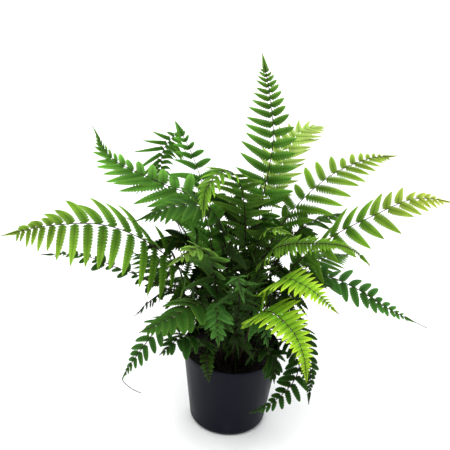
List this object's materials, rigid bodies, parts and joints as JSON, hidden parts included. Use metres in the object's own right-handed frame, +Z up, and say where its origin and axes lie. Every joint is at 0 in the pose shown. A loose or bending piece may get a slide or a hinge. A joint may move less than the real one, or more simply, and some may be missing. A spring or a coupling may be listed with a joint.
{
  "type": "potted wood fern",
  "caption": "Wood fern in a round tapering nursery pot: arching, toothed fronds rise from a scaly crown in bark compost. It rests on the pot's flat base.",
  "frame": {"origin": "middle of the pot's flat base", "axes": "+Z up, -Y towards the front of the plant, +X to the right as seen from the front"},
  "size_m": [0.6503, 0.4943, 0.6001],
  "materials": {
    "pot_plastic": "satin, thin moulded plastic",
    "bark_compost": "crumbly, dark and damp",
    "crown_scales": "rough, with brown papery scales",
    "frond_dark": "leathery dark green leaf with a dark brown stalk",
    "frond_middle": "leathery mid green leaf with a dark brown stalk",
    "frond_light": "thin fresh green leaf with a dark brown stalk",
    "frond_lime": "thin young lime green leaf with a dark brown stalk"
  },
  "bodies": {
    "root": {"pot": "pot_plastic", "soil": "bark_compost", "crown": "crown_scales", "frond_tall": "frond_middle", "frond_left_long": "frond_light", "frond_right_far": "frond_light", "frond_right_upper": "frond_light", "frond_upper_left": "frond_middle", "frond_right_low": "frond_dark", "frond_lime_front": "frond_lime", "frond_lime_right": "frond_lime", "frond_lime_back": "frond_lime", "frond_upright_left": "frond_dark", "frond_right_middle": "frond_light", "frond_front_left": "frond_middle", "frond_crest": "frond_light", "frond_dark_front": "frond_dark", "frond_rim_curl": "frond_dark", "frond_left_droop": "frond_dark", "frond_left_thin": "frond_dark", "frond_left_low": "frond_dark", "frond_fine_back": "frond_light", "frond_centre_left": "frond_middle", "frond_forward_left": "frond_middle", "frond_forward_centre": "frond_middle", "frond_centre_right": "frond_light", "frond_rim_small": "frond_middle", "frond_rim_right": "frond_dark", "frond_rim_left": "frond_dark", "frond_right_behind": "frond_middle", "frond_front_fill_left": "frond_dark", "frond_front_fill_right": "frond_dark", "frond_centre_back": "frond_dark", "frond_centre_dark": "frond_dark", "frond_right_dark": "frond_dark", "frond_back_right": "frond_middle", "frond_back_middle_right": "frond_middle", "frond_back_middle_left": "frond_middle", "frond_back_left": "frond_dark"}
  },
  "joints": []
}
